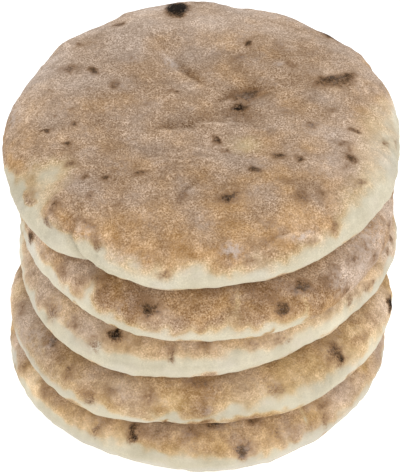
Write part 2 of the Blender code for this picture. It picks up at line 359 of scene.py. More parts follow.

# %% [markdown]
# ## Spots, patches and creases
# Scorched spots sit where a blister touched the hot stone, so each one is dark in the middle, brown round it and
# slightly raised. Each mark is a soft oval on the crust: its place seen from above in millimetres from the bread's
# middle, its half length, half width, turn and strength. They are put down one by one where they show. On the hidden
# sides a seeded draw scatters a few of the same kind.

# %% Marks on the crust: (x, y, half length, half width, turn in degrees, strength)
SCORCHED = {
    "top_pita": (
        (-9.6, 63.0, 5.2, 3.6, 96, 3.0), (-9, 66.5, 2.4, 3.0, 90, 0.7), (-32, 54.5, 2.8, 2.2, 0, 0.62),
        (-46.5, 42, 2.6, 1.8, 0, 0.52), (-50, 26.5, 3.4, 3.0, 0, 0.58), (-41, 25, 3.2, 1.8, -45, 0.85),
        (-33, 15, 2.0, 2.8, 0, 0.6), (-9.5, 10.5, 1.5, 1.3, 0, 0.7), (-11.5, 11.5, 1.6, 0.9, 30, 0.4),
        (-20, 3.5, 1.2, 1.4, 0, 0.45), (-48, 1, 1.5, 1.1, 0, 0.45), (-43, -0.5, 1.6, 1.0, 0, 0.36),
        (-54, -0.5, 2.0, 1.0, 0, 0.32), (-46.5, -7, 1.3, 1.2, 0, 0.8), (-57.5, -9, 1.5, 1.1, 0, 0.85),
        (-49, -17, 1.7, 1.5, 0, 0.98), (-25.5, 30.5, 1.0, 1.6, 0, 0.4), (-56, 12.5, 1.6, 1.4, 0, 0.3),
        (-42, 12.5, 2.0, 1.4, 0, 0.26), (17.5, 39, 1.3, 1.9, 20, 1.25), (15, 39.8, 1.6, 1.0, 0, 0.45),
        (14, 31, 2.4, 1.8, 0, 0.42), (13, 24, 1.8, 1.8, 0, 0.26), (30, 37.5, 2.8, 1.4, -50, 0.36),
        (33.5, 27, 4.0, 1.5, -10, 0.34), (50, 18.5, 8.0, 3.4, 20, 0.62), (47, 18.6, 4.2, 1.6, 32, 1.0),
        (54, 21, 1.9, 2.8, 0, 0.85), (52, 16, 5.0, 2.6, 10, 0.5), (43.5, 14.5, 3.0, 1.4, 30, 0.5),
        (57, 23, 1.5, 1.2, 0, 0.45), (16, 10, 6.0, 3.2, 20, 0.66), (18.5, 11.2, 4.2, 1.5, 25, 0.7),
        (12, 7.5, 2.6, 1.8, 0, 0.42), (14.5, -2.5, 6.0, 3.6, 0, 0.2), (18, 8.6, 4.0, 1.0, 25, 0.42), (14.2, 2.8, 3.0, 1.8, 26, 1.9),
        (30, 0, 1.6, 1.4, 0, 0.5), (48.5, 1, 1.5, 1.1, 0, 0.42), (40, -8, 2.2, 1.7, 0, 0.6),
        (56, -9, 2.4, 1.6, 0, 0.75), (51, -16, 3.4, 1.6, 0, 0.36), (54.5, -19, 1.6, 2.6, 0, 0.34),
        (55, -24, 2.2, 2.0, 0, 0.75), (52, -28.5, 3.2, 1.6, 40, 0.36), (57, -34, 4.0, 1.6, 30, 0.42),
        (24.5, -11.5, 1.0, 0.9, 0, 0.6), (5.5, -16.5, 2.3, 1.6, -40, 1.05), (8.5, -21.5, 1.8, 1.2, 0, 0.55),
        (28.5, -24.5, 2.4, 1.6, 0, 0.92), (36, -26, 1.8, 1.4, 0, 1.0), (36, -25.5, 3.0, 2.2, 0, 0.4),
        (19.5, -32.3, 2.6, 1.7, -25, 0.92), (49, 52, 5, 2.4, -48, 0.95), (-48, -28, 2.0, 1.6, 0, 0.58),
        (-42.5, -35.5, 2.0, 1.8, 0, 0.68), (-35, -36.5, 1.5, 1.5, 0, 0.95), (-22, -35, 3.0, 1.4, 10, 0.65),
        (-40.5, -44.5, 1.5, 1.6, 0, 0.65), (-30, -48.5, 1.7, 1.3, 0, 0.48), (-34.5, -21.5, 1.1, 2.4, 0, 0.3),
        (-7, -46.5, 3.6, 1.4, 65, 0.36), (-52.5, -46.5, 2.6, 1.4, 10, 0.58), (-55.5, -51, 2.8, 1.6, -50, 0.5),
        (-40, -56, 2.6, 1.9, 30, 0.42), (-43, -54, 4.0, 1.5, -30, 0.38), (-37.5, -62, 2.6, 1.7, -50, 0.42),
        (-71, -23.5, 1.6, 1.4, 0, 0.3), (10, -46.5, 3.6, 1.7, 24, 1.0), (10, -46, 6.0, 3.2, 24, 0.4),
        (36, -45, 3.8, 3.2, 30, 0.46), (43.5, -42.5, 2.6, 2.0, 60, 0.42), (47.5, -53.5, 2.4, 1.5, 45, 0.4),
        (17, -70.5, 3.6, 1.3, 10, 0.38), (40, -60, 3.4, 1.4, 35, 0.28), (24, -57, 3.0, 2.0, 0, 0.26),
        (25, -63.5, 5.0, 2.0, 10, 0.26), (31, -38, 5.0, 2.0, 0, 0.24), (68, -10.5, 2.6, 1.5, 20, 0.42),
        (72.5, -6, 1.0, 2.8, 0, 0.34), (-61.5, -37, 4.0, 3.0, -55, 0.2), (-13.5, -74.8, 2.8, 2.0, 0, 0.42), (2, -3.5, 4.5, 1.6, -35, 0.24),
        (-67.5, -24.5, 2.2, 1.8, -60, 0.36),
    ),
    "second_pita": (
        (-65, -26.5, 2.3, 1.8, -60, 1.0), (-52.5, -46, 4.0, 3.0, 0, 0.36), (-46.5, -53.5, 3.6, 4.4, -40, 0.26),
        (-39.5, -53.5, 3.4, 2.4, -20, 0.36), (-21.5, -67, 6.0, 4.4, -10, 0.36), (-21.5, -67.4, 3.0, 2.6, 0, 1.15),
        (22, -64, 6, 4, 15, 0.22),
        (27.5, -66.3, 2.8, 2.2, 20, 0.95), (34.5, -58, 3.4, 2.6, 30, 0.95), (16.5, -62, 2.6, 2.2, 0, 0.36),
        (51.5, -50, 2.0, 2.8, 40, 0.55), (43.5, -53.5, 3.4, 2.2, 40, 0.42), (61.5, -35, 3.0, 2.0, 60, 0.42),
        (68, -18, 3.2, 2.2, 70, 0.4), (66, -28, 2.6, 3.0, 60, 0.32), (2, -61, 6, 3, 0, 0.25),
        (-60, -37, 3.0, 2.0, -55, 0.3), (54, -40, 5, 3.4, 50, 0.36), (59, -33, 4, 3, 60, 0.3), (47, -47, 3, 3, 45, 0.34),
    ),
    "third_pita": (
        (-31.8, -61.0, 2.2, 2.2, -25, 1.8), (-31.5, -61.5, 6.0, 4.5, -25, 0.32), (-11, -69.5, 1.3, 3.0, 0, 0.5), (-39.5, -62.5, 3.4, 3.4, -30, 0.4),
        (-47.5, -54, 3.0, 3.6, -40, 0.35), (-55.5, -46, 3.6, 4.0, -50, 0.45), (71.5, -6, 1.4, 2.8, 80, 0.62),
        (70.5, -12.5, 2.4, 2.0, 80, 0.5), (55.5, -38, 3.2, 1.5, 55, 0.4), (62, -31, 2.2, 2.4, 60, 0.3),
        (64.5, -27.5, 1.9, 2.0, 60, 0.42), (47.5, -47, 4.2, 2.4, 45, 0.12), (20, -63.5, 3.6, 2.0, 15, 0.34),
        (30, -60, 5.0, 2.0, 25, 0.3), (2, -65, 3.0, 2.4, 0, 0.3),
    ),
    "fourth_pita": (
        (51.5, -43, 2.6, 4.4, 50, 0.55), (52.6, -44.6, 1.7, 2.4, 50, 1.1), (51.5, -43.5, 5.5, 6.0, 50, 0.3), (73.5, -10.5, 3.3, 2.0, 82, 1.6),
        (-54.5, -39, 3.2, 2.6, -50, 0.8), (-49, -52, 2.8, 3.4, -40, 0.4), (-41, -61.5, 3.6, 3.0, -35, 0.42),
        (-19, -64.5, 3.0, 2.6, 0, 0.36), (-1, -61, 5, 2.4, 0, 0.45), (63, -31, 2.6, 2.2, 60, 0.2),
        (28, -61, 4.0, 3.0, 20, 0.34), (-68, -18, 3.0, 3.4, -75, 0.3), (-33, -61, 3.2, 2.2, -20, 0.3),
    ),
    "bottom_pita": (
        (-24, -61.5, 1.8, 3.7, -20, 1.2), (-22.5, -61, 4.5, 4.5, -20, 0.3), (17, -68.3, 2.6, 2.6, 10, 0.85), (6.5, -60, 4.4, 2.0, 0, 0.6),
        (17, -67.5, 5.0, 4.5, 10, 0.3), (21, -58.5, 2.8, 2.0, 15, 0.6), (-58, -39.5, 3.4, 3.4, -55, 0.2), (-39, -57, 2.6, 3.4, -35, 0.45),
        (-3, -64, 3.4, 3.0, 0, 0.36), (48, -51, 2.2, 3.6, 40, 0.4), (36.5, -60.5, 2.0, 3.4, 35, 0.25),
        (48, -47, 3.6, 2.6, 45, 0.36), (30, -61, 3.0, 3.0, 25, 0.3), (-74.5, -4, 2.6, 3.0, -85, 0.45),
        (-68, -23.5, 3.2, 3.6, -70, 0.3),
    ),
}


def nearest_place(node, x, y):
    """The grid point and its normal on the upper crust that lie nearest (x, y) seen from above."""
    crust = crusts[node]
    gap = np.hypot(crust["grid"][..., 0] - x, crust["grid"][..., 1] - y) + 100.0 * (crust["reach"] < -0.5)
    index = np.unravel_index(gap.argmin(), gap.shape)
    return crust["grid"][index], crust["normal"][index]


def oval(node, mark):
    """A soft oval on the crust, its strength in its middle: exp(-(u^2 + v^2 + w^2)^1.1).

    u and v are the distances along and across the oval on the crust, in half lengths and half widths, and w is the
    distance off the crust in half lengths, so that a mark on the crown leaves the belly clean. The crust's points
    are shaken by ripples 4 mm wide first, which makes the oval's outline uneven.
    """
    x, y, half_length, half_width, turn, strength = mark
    place, normal = nearest_place(node, x, y)
    along = np.array((math.cos(math.radians(turn)), math.sin(math.radians(turn)), 0.0))
    along -= along @ normal * normal
    along /= np.linalg.norm(along)
    across = np.cross(normal, along)
    gap = crusts[node]["shaken"] - place
    inside = (gap @ along / half_length) ** 2 + (gap @ across / half_width) ** 2
    inside += (gap @ normal / max(half_length, half_width)) ** 2
    return strength * np.exp(-(inside**1.1))


def hidden_marks(node, seed, count=16):
    """Seeded marks on the far side of a covered bread: angle 10 to 170 degrees, 58 to 71 mm from its middle."""
    dice = np.random.default_rng(seed)
    angle = np.radians(dice.uniform(10.0, 170.0, count))
    away = dice.uniform(58.0, 71.0, count)
    sizes = dice.uniform(1.4, 3.8, (count, 2))
    strength = dice.uniform(0.25, 0.85, count)
    turn = np.degrees(angle) + 90.0
    return list(zip(away * np.cos(angle), away * np.sin(angle), sizes[:, 0], sizes[:, 1], turn, strength))


def gather(node, marks):
    """The marks laid over each other: the largest value at each point, plus a third of the rest."""
    layers = np.array([oval(node, mark) for mark in marks])
    largest = layers.max(axis=0)
    return largest + (layers.sum(axis=0) - largest) / 3.0


for number, node in enumerate(STACK):
    grid = crusts[node]["grid"]
    shakes = [ripple(grid, 4.0, 500 + 10 * number + axis) for axis in range(3)]
    crusts[node]["shaken"] = grid + 0.45 * np.stack(shakes, axis=-1)
    marks = list(SCORCHED[node])
    if node != "top_pita":
        marks += hidden_marks(node, 200 + number)
    blotches = np.clip(ripple(grid, 7.0, 600 + number), 0.0, 2.0) * crusts[node]["bake"]
    crusts[node]["scorch"] = gather(node, marks) + (0.03 if number == 4 else 0.06) * blotches
    print(node, "scorched marks:", len(marks))

# %% [markdown]
# ## Broad tones
# Between the pale dough and the scorched spots the crust has three tones: golden where it is thin and dry near the
# rim, plain brown, and a greyer, pinker tone where flour is baked on. They change over centimetres. Each is a set of
# wide soft ovals, so that the warm front and the cool far side of the top bread are where they should be. Shade and
# light are painted into the crust too: a darker band in the narrow gap under the next bread, and a table of darker
# and lighter ovals that is partly painted shade and light and partly the crust's own tone.

# %% Golden, ashen, cream and floured patches, and painted shade and light
GOLDEN = {
    "top_pita": (
        (-28, -60, 20, 9, -25, 0.75), (2, -64, 22, 8, 3, 0.9), (28, -56, 16, 9, 28, 0.55), (-13.5, -74.5, 2.4, 1.5, 0, 0.9),
        (39, -60.5, 3.2, 2.4, 35, 0.7), (-62, -37, 4.2, 3.2, -55, 0.8), (-67, -25, 4, 3, -70, 0.7),
        (-42, 5, 6, 3, 0, 0.5), (34, 6, 8, 6, 0, 0.2), (5, 30, 14, 8, 20, 0.1), (22, -40, 16, 14, 0, 0.4), (14, -46, 10, 7, 0, 0.45),
        (-60, -15, 9, 6, 90, 0.4), (10, -73, 3, 1.5, 0, 0.6), (8, -46, 16, 9, 0, 0.4), (-30, -24, 12, 8, 0, 0.25),
        (25, 2, 10, 6, 0, 0.15), (-54, 2, 12, 12, 0, 0.35), (14, -51, 14, 6, 0, 0.4),
        (36, -14, 10, 10, 0, 0.3), (-45, -15, 8, 8, 0, 0.3),
    ),
    "second_pita": (
        (-47, -53.5, 5, 5, -45, 1.1), (-10, -66, 10, 5, 0, 0.6), (8, -67, 10, 5, 0, 0.5), (28, -63, 6, 5, 20, 0.4),
        (45, -57, 6, 4, 45, 0.7), (38, -52, 5, 3, 40, 0.6), (-33, -60, 4, 5, 0, 0.6),
    ),
    "third_pita": (
        (-28, -66, 6, 4, -20, 0.7), (12, -66, 14, 5, 8, 0.7), (34, -58, 10, 5, 30, 0.7), (52, -45, 8, 4, 50, 0.7),
        (62, -31, 5, 4, 60, 0.9), (-45, -58, 6, 4, -35, 0.5),
    ),
    "fourth_pita": (
        (18, -66, 12, 7, 12, 0.7), (36, -58, 12, 8, 35, 0.8), (-8, -68, 6, 5, 0, 0.5), (-28, -60, 8, 5, -25, 0.7),
        (58, -38, 8, 6, 55, 0.7), (-50, -50, 5, 4, -45, 0.5),
    ),
    "bottom_pita": (
        (-44, -54, 8, 6, -40, 0.8), (-14, -68, 8, 4, -10, 0.7), (-32, -62, 6, 5, -25, 0.6), (26, -64, 8, 5, 20, 0.7),
        (45, -52, 7, 5, 45, 0.6), (4, -66, 8, 5, 0, 0.5), (-62, -34, 6, 5, -60, 0.5),
    ),
}
ASHEN = {
    "top_pita": (
        (-40, 40, 38, 24, 35, 0.9), (0, 62, 40, 16, 0, 0.7), (-16, -14, 24, 18, 0, 0.45), (48, 40, 24, 14, -45, 0.5),
        (14, 3, 14, 8, 20, 0.4), (54, -18, 10, 16, 0, 0.5), (-48, -42, 9, 7, 40, 0.6), (-6, 24, 14, 9, 120, 0.5),
        (54, -24, 10, 16, -25, 0.5), (66, 4, 9, 22, 0, 0.15), (-62, 26, 8, 20, 15, 1.0), (-57, 37, 9, 12, 0, 0.9), (-34, 60, 12, 6, 20, 0.6), (72, 16, 4, 10, 0, 0.7),
        (-48, 52, 14, 8, 40, 0.7), (-12, 43, 20, 9, 0, 0.5), (66, 26, 6, 12, 20, 0.5),
    ),
    "second_pita": (
        (-66, -26, 9, 7, -65, 0.6), (55, -42, 14, 12, 50, 0.9), (68, -14, 14, 10, 75, 0.9), (0, -60, 10, 5, 0, 0.3),
        (-50, -47, 8, 6, -40, 0.4),
    ),
    "third_pita": (
        (-60, -34, 16, 9, -60, 0.6), (0, -66, 12, 5, 0, 0.4), (-40, -58, 12, 6, -35, 0.5), (70, -10, 10, 8, 80, 0.9),
    ),
    "fourth_pita": (
        (-66, -26, 16, 12, -65, 1.0), (-26, -62, 14, 6, -20, 0.5), (0, -66, 8, 5, 0, 0.2), (70, -16, 10, 10, 75, 0.5), (-73, 0, 8, 7, 90, 1.0),
        (-42, -54, 10, 7, -40, 0.5),
    ),
    "bottom_pita": (
        (-70, -16, 12, 8, -75, 0.8), (-12, -62, 10, 5, 0, 0.5), (38, -58, 8, 6, 35, 0.5), (58, -38, 12, 9, 55, 0.7), (71, -14, 12, 8, 75, 1.0),
        (-56, -42, 6, 5, -50, 0.4),
    ),
}
CREAM = {
    "top_pita": (
        (16, -19, 7.5, 5.5, 5, 0.62), (-55.5, -32, 10, 7, 30, 0.78), (-49.5, -38, 6, 2.2, 55, 0.4),
        (-2.5, 14.5, 2.6, 1.4, 0, 0.25), (63, -9, 9, 20, -5, 0.42), (-61, -27, 7, 7, 0, 0.45),
    ),
    "second_pita": ((36, -62, 0.8, 7, 30, 0.6), (11, -66, 1.6, 6, 0, 0.6), (-42.5, -56.5, 2.2, 8, -37, 0.8)),
    "third_pita": ((50, -50, 3, 4, 45, 0.4),),
    "fourth_pita": ((57.5, -41.5, 2.2, 5, 50, 0.4), (-70, -8, 6, 6, 90, 0.4)),
    "bottom_pita": (
        (43, -57, 1.4, 3, 37, 0.9), (41, -53.5, 1.3, 3, 37, 0.85), (39, -50, 1.2, 3, 37, 0.7), (-28, -66, 3, 4, 0, 0.5), (-62, -30, 3, 4, 0, 0.4),
    ),
}
FLOURED = {
    "top_pita": (
        (10, -68.5, 3.0, 3.4, 0, 0.8), (36, -59.5, 5.5, 0.9, 28, 0.7), (29, -62, 3.5, 0.8, 20, 0.35), (-25, -70, 8, 3, -10, 0.3),
        (33, 37, 2.4, 1.6, -20, 0.4), (28.5, 27.5, 1.8, 1.5, 0, 0.5), (-62, 30, 12, 5, 65, 0.55), (-12, 30, 6, 2, 130, 0.6),
        (-70, 8, 3, 9, 0, 0.5), (-20, 64, 10, 3.4, 15, 0.4),
        (34, 61, 14, 4.5, -25, 0.5), (8, 69, 6, 3, 0, 0.3), (68, 26, 3.4, 9, 15, 0.45), (57, 46, 4, 9, 45, 0.35),
        (-55, 50, 10, 5, 45, 0.3), (-43, -58, 4, 3, 40, 0.35), (26, 62, 9, 3, -15, 0.3),
    ),
    "second_pita": ((60, -30, 12, 6, 60, 0.6), (49, -49, 5, 3, 45, 0.4), (-62, -34, 6, 4, -55, 0.25)),
    "third_pita": ((38, -58, 5, 2, 30, 0.3), (-52, -50, 6, 4, -45, 0.25)),
    "fourth_pita": ((-62, -34, 9, 5, -60, 0.4), (4, -68, 4, 2, 0, 0.3), (-14, -66, 4, 2, 0, 0.25)),
    "bottom_pita": ((10, -60, 4, 2, 0, 0.25), (44, -50, 3, 3, 40, 0.25)),
}
# The last table is partly painted shade and painted light and partly the crust's own tone. It makes the crust
# darker (above 0) or lighter (below 0) without changing its hue: painted shadow beside the folds on the crown,
# painted light on rims that lie in the shadow of the bread above, and darker and lighter crust elsewhere.
SHADE_LIGHT_AND_TONE = {
    "top_pita": (
        (-5, 25, 2.4, 5.2, 22, 1.1), (-1, 20, 1.5, 3, 38, 0.6), (-9, 21, 2.0, 8, 42, -0.15), (-2.5, 14.5, 2.6, 1.4, 0, -0.5),
        (15, 12, 7.5, 4.2, 20, 1.1), (14, -1.5, 7, 5.0, 0, 1.3), (-8, -7, 8.5, 2.4, 0, 0.7), (-2, -5.5, 5, 3, 0, 0.4),
        (4, -3, 5, 2, -30, 0.25), (6, -7.5, 7, 1.1, 5, -0.6), (-20, 16, 9, 6, 0, 0.22), (-29, 18, 8, 5, 0, 0.2),
        (30, 35, 5, 3, -50, 0.3), (24, 33, 10, 8, 0, 0.12), (35, 19, 8, 4, 0, 0.3), (34, 27, 4, 1.8, 0, 0.4),
        (30, 27.5, 1.3, 1.5, 0, -1.2), (5, 52, 14, 7, 0, -0.4), (-8, 50, 10, 6, 0, -0.15), (30, 55, 12, 8, 0, -0.5), (-20, 65, 12, 4, 15, -0.8), (20, 66, 14, 4, -12, -0.8),
        (-25, 57, 12, 6, 20, -0.5), (-48, 48, 12, 6, 45, -0.55), (-60, 30, 8, 5, 60, -0.35), (-68, 10, 4, 10, 0, -0.35),
        (55, 40, 12, 8, -45, -0.25), (63, 24, 6, 12, 20, -0.3), (-5, 46, 6, 3, 0, 0.3), (-14, 44, 5, 5, 0, 0.15),
        (-36, -5, 9, 4, 0, 0.32), (-60, -5, 8, 5, 0, 0.2), (-26, 10, 6, 2.5, 0, 0.3), (-30, -22, 8, 5, 0, 0.12),
        (-62, 14, 8, 7, 0, -0.3), (-57, -14, 8, 4, 0, -0.15), (-23, 4, 8, 4, 0, -0.15), (-14, -15, 4, 5, 0, -0.1),
        (-50, 16, 8, 4, 0, -0.2), (-53, 21, 3, 3, 0, 0.2), (40, 9, 5, 2.4, 0, 0.3), (56, -3, 12, 13, 0, -0.35),
        (62, -20, 8, 12, 0, -0.3), (45, -12, 9, 8, 0, -0.15), (30, 5, 9, 4, 0, 0.2), (50, -45, 7, 7, 0, -0.35),
        (46, -30, 8, 6, 0, -0.2), (-20, -62, 12, 5, -15, 0.45), (14, -50, 18, 13, 0, 0.16),
        (31, -38, 5, 2.4, 0, 0.25), (-7, -45.5, 4.5, 1.3, 65, 0.6), (-50, -46, 4, 3, 0, 0.25), (-12, -40, 14, 6, 0, 0.12),
        (-45, -12, 6, 5, 0, -0.12), (-30, -33, 14, 7, 0, 0.15), (40, 17, 8, 4, 0, 0.3), (48, 15, 8, 4.5, 15, 0.4), (4, -63, 12, 5, 0, 0.15), (66, 2, 6, 12, 0, -0.3), (0, 61, 42, 9, 0, -0.5), (-55, 34, 14, 20, 0, -0.4), (-66, 4, 8, 20, 0, -0.3),
        (52, 22, 16, 13, 0, -0.4), (38, -24, 14, 15, 0, -0.25), (72, 14, 4, 12, 0, -0.8), (-30, 52, 20, 8, 0, -0.3),
        (15, 46, 18, 8, 0, -0.3), (-56, -44, 6, 8, 0, -0.3),
        (-53, -34, 9, 6, 20, -0.5), (-16, -20, 12, 6, 0, 0.3), (0, -35, 6, 8, 0, 0.35),
        (20, 15, 10, 5, 0, 0.25), (12, -70, 5, 3, 0, 0.35), (-69, -3, 4, 10, 0, -0.35), (-44, -50, 6, 5, 0, 0.35), (60, -25, 10, 18, -20, -0.25),
    ),
    "second_pita": (
        (-60, -35, 15, 6, -60, -1.1), (-46, -52, 10, 6, -42, -0.7), (-29, -62.5, 8, 4, -25, 0.55), (12, -68, 6, 4, 0, 0.35),
        (64, -20, 18, 9, 72, -0.95), (54, -41, 8, 8, 50, -0.55), (47, -55, 7, 6, 45, 0.5),
    ),
    "third_pita": (
        (-70, -12, 13, 8, 100, -1.1), (-54, -45, 7, 5, -45, -0.45), (53, -49, 8, 6, 43, -0.7), (72, -8, 8, 6, 85, -0.6),
    ),
    "fourth_pita": (
        (-57, -40, 14, 7, -55, 0.7), (46, -54, 8, 6, 45, 0.5), (-2, -71, 15, 5, 0, 0.6), (66, -30, 17, 8, 65, -0.6), (72, -14, 8, 6, 75, -0.8),
        (-73, -4, 11, 8, 90, -1.3),
    ),
    "bottom_pita": (
        (-63, -34, 8, 5, -62, -1.0), (-46, -54, 7, 5, -42, -0.4), (-14, -66.5, 12, 5, -10, 0.5), (53, -45, 7, 5, 50, -0.45),
        (-73, -6, 8, 7, 90, -0.8),
    ),
}


# Painted shadow under the next bread: for each bread from the bottom up to the second, how strongly its crust is
# darkened where the bread above hangs close over it.
CONTACT_PAINTED_SHADE = (1.0, 0.8, 0.15, 0.8)


def covered_gap(number):
    """How far the bread above hangs over each point of the upper crust, in millimetres, and large where it doesn't.

    The gap is the height from the point up to the underside of the next bread, whose underside at the same place
    seen from above is read off its own crust: height = -drop (1 - share^8)^(1/2) with share = away / outline.
    """
    lower, upper = outlines[STACK[number]], outlines[STACK[number + 1]]
    place = crusts[STACK[number]]["grid"] + lower["middle"] - upper["middle"]
    edge = outline_curve(upper, np.arctan2(place[..., 1], place[..., 0]))
    share = np.clip(np.hypot(place[..., 0], place[..., 1]) / edge, 0.0, 2.0)
    underside = -BELLY_DROP * np.sqrt(np.clip(1.0 - share**BELLY_FULLNESS, 0.0, 1.0))
    gap = np.where(share < 1.0, np.maximum(underside, -upper["drop"]) - place[..., 2], 12.0)
    return gap + 40.0 * np.clip(share - 1.0, 0.0, 1.0)


for number, node in enumerate(STACK):
    crust = crusts[node]
    grid = crust["grid"]
    # The shade tone: the table above, which is partly painted shade and light, and ripples and upright streaks of
    # darker and lighter crust.
    crust["shade"] = sum(oval(node, mark) for mark in SHADE_LIGHT_AND_TONE[node])
    crust["shade"] = crust["shade"] + 0.07 * ripple(grid, 30.0, 340 + number) + 0.06 * ripple(grid, 14.0, 350 + number)
    upright = np.stack((grid[..., 0], grid[..., 1], 0.3 * crust["reach"]), axis=-1)
    streaked = np.exp(-(((crust["reach"] - 8.0) / 9.0) ** 2)) * (0.4 + 0.6 * crust["bake"])
    crust["shade"] += 0.22 * streaked * (ripple(upright, 5.0, 360 + number) + 0.6 * ripple(upright, 2.6, 370 + number))
    # Painted shadow where the bread above hangs close over the crust, fading over about a millimetre of gap.
    if number + 1 < len(STACK):
        gap = covered_gap(number)
        crust["shade"] += CONTACT_PAINTED_SHADE[number] * np.exp(-np.clip(gap, 0.0, 12.0) / 1.0) * (crust["reach"] > 0)
    # Painted shadow: the browned patches under the rims darken the crust further, for the gaps between the breads.
    crust["shade"] += 0.6 * crust["patches"]
    near_edge = np.exp(-(((crust["past"] - 0.8) / 0.7) ** 2))
    crust["golden"] = gather(node, GOLDEN[node]) + 0.5 * near_edge * (1.0 + 0.6 * ripple(grid, 8.0, 330 + number))
    crust["golden"] += 0.16 * ripple(grid, 16.0, 300 + number) + 0.09 * ripple(grid, 7.0, 380 + number)
    crust["ashen"] = gather(node, ASHEN[node]) + 0.22 * ripple(grid, 22.0, 310 + number)
    # Painted light: below its widest line the bottom bread's dough is turned chalky, whiter and cooler, as if lit by
    # the white floor.
    if number == 0:
        crust["ashen"] += smooth_step(-crust["reach"], -1.0, 3.0)
    crust["bake"] = crust["bake"] * (1.0 - np.clip(gather(node, CREAM[node]), 0.0, 1.0))
    crust["flour"] = gather(node, FLOURED[node]) + 0.10 * np.clip(ripple(grid, 11.0, 320 + number), 0.0, 2.0)
    print(node, "mean golden", round(float(crust["golden"].mean()), 2), "mean ashen", round(float(crust["ashen"].mean()), 2))

# %% [markdown]
# ## Relief
# The dough rises unevenly: the crown swells and sinks by half a millimetre, the rims are lumpy, blisters stand up
# under the scorched spots, and creases run where the dough folded. All of it is one height in millimetres, added
# along the normals. It fades out where two breads press on each other, so that they rest and don't cut in. The
# creases and folds also get painted shade, and the folds a painted highlight on their ridges.

# %% Creases as lines across the crust: points (direction, reach), half width, depth, which also sets their painted shade
def crease(node, line, half_width):
    """1 on a line drawn over the crust and falling off as exp(-(d / half width)^2), d the distance to it."""
    crust = crusts[node]
    rows = [np.abs(crust["reach"][:, 0] - reach).argmin() for _, reach in line]
    columns = [int(round((direction + 180.0) / 360.0 * AROUND)) % AROUND for direction, _ in line]
    corners = crust["grid"][rows, columns]
    least = np.full(crust["reach"].shape, np.inf)
    for start, end in zip(corners[:-1], corners[1:]):
        step = end - start
        share = np.clip((crust["grid"] - start) @ step / (step @ step), 0.0, 1.0)
        gap = crust["grid"] - start - share[..., None] * step
        least = np.minimum(least, np.linalg.norm(gap, axis=-1))
    return np.exp(-((least / half_width) ** 2))


CREASES = {
    "top_pita": (
        (((-131, 10), (-130, 5), (-128, 0), (-126, -4), (-125, -9)), 1.2, 2.0),
        (((-134, 6), (-134, 2), (-132, -3)), 0.7, 0.4),
        (((-137, 4), (-137, 0), (-135, -5)), 0.7, 0.3),
        (((-124, -1), (-118, -2), (-110, -1.5), (-103, -2.5)), 0.6, 0.5),
        (((-121, 2), (-114, 1.2), (-107, 1.5)), 0.6, 0.4),
        (((12, 65), (20, 60), (26, 54), (27, 50)), 1.6, 0.8),
        (((120, 60), (100, 60), (85, 66)), 1.2, 0.35),
        (((-145, 66), (-120, 68), (-94, 72)), 0.8, 0.2),
        (((-50, 13), (-58, 12), (-66, 12)), 0.9, 0.25),
    ),
    "second_pita": ((((-59, 12), (-60, 5), (-61, 0)), 0.9, 0.35), (((-84, 12), (-84, 3)), 0.9, 0.3)),
    "third_pita": (
        (((-121, 1.0), (-112, 2.4), (-102, 2.8), (-92, 2.4), (-84, 1.4)), 0.5, 0.35),
        (((-99, 10), (-99, 5)), 0.6, 0.35),
    ),
    "fourth_pita": ((((-106, 3), (-98, 4.6), (-92, 3)), 0.6, 0.35), (((-100, 2), (-100, -5)), 1.0, 0.7)),
    "bottom_pita": ((((-52, 12), (-52, 3)), 1.0, 0.4), (((-118, 3), (-118, -4)), 0.8, 0.3)),
}


# Folds on the crown: points (x, y), half width, lift, painted shadow on the left of the line, painted highlight on the
# line
FOLDS = {
    "top_pita": (
        (((-13, 29), (-9, 24.5), (-5, 20.5), (-1, 16.5), (3, 14), (6, 11), (8, 8.5)), 1.0, 0.45, 0.30, 0.5),
        (((9, 6.5), (13, 8), (17, 9.8), (20, 11.5)), 1.2, 0.4, 1.0, 0.4),
        (((-15, -9.5), (-10, -10.8), (-5, -10)), 0.9, 0.3, 0.6, 0.5),
        (((-3, -8.2), (2, -7.2), (8, -7.5), (12, -6.8)), 0.8, 0.3, 0.4, 0.6),
        (((-21, 43), (-16, 38), (-12, 31)), 0.8, 0.2, 0.2, 0.6),
        (((-24, 40), (-19, 33), (-14, 27)), 0.7, 0.15, 0.1, 0.35),
        (((-20, -27), (-14, -25), (-8, -27), (-1, -25), (4, -26)), 0.7, 0.2, 0.2, 0.8),
        (((-16, -22), (-9, -23), (-3, -20), (3, -22)), 0.7, 0.15, 0.15, 0.7),
        (((-10, -31), (-3, -29), (4, -30)), 0.7, 0.15, 0.15, 0.65),
        (((-4, -22), (1, -18), (0, -13)), 0.6, 0.12, 0.1, 0.35),
        (((-2, -39), (-5, -42), (-7.5, -46), (-8, -50)), 0.9, -0.25, 0.0, -0.7),
        (((27, -63), (33, -60), (38, -59.5), (43, -58)), 0.7, 0.2, 0.1, 1.4),
        (((20, 52), (26, 55), (34, 52)), 0.8, 0.2, 0.3, 0.3),
    ),
}


def fold(node, line, half_width):
    """The line's own bell, 1 on it, which takes the painted highlight, and the bell of the strip just to its left,
    which takes the painted shadow.

    The bell is exp(-(d / half width)^2). The strip's is the same round a line three half widths to the left and twice
    as wide, cut off sharply at the line itself.
    """
    crust = crusts[node]
    plan = crust["grid"][..., :2]
    least = np.full(plan.shape[:2], np.inf)
    signed = np.zeros(plan.shape[:2])
    corners = np.array(line, float)
    for start, end in zip(corners[:-1], corners[1:]):
        step = end - start
        share = np.clip((plan - start) @ step / (step @ step), 0.0, 1.0)
        gap = plan - start - share[..., None] * step
        away = np.linalg.norm(gap, axis=-1)
        side = np.sign(step[0] * gap[..., 1] - step[1] * gap[..., 0])
        nearer = away < least
        signed = np.where(nearer, side * away, signed)
        least = np.minimum(least, away)
    on_crown = crust["reach"] > 3.0
    bell = np.exp(-((least / half_width) ** 2)) * on_crown
    strip = np.exp(-(((signed - 1.5 * half_width) / (1.8 * half_width)) ** 2)) * smooth_step(signed, -0.3, 0.6)
    strip = strip * on_crown
    return bell, strip


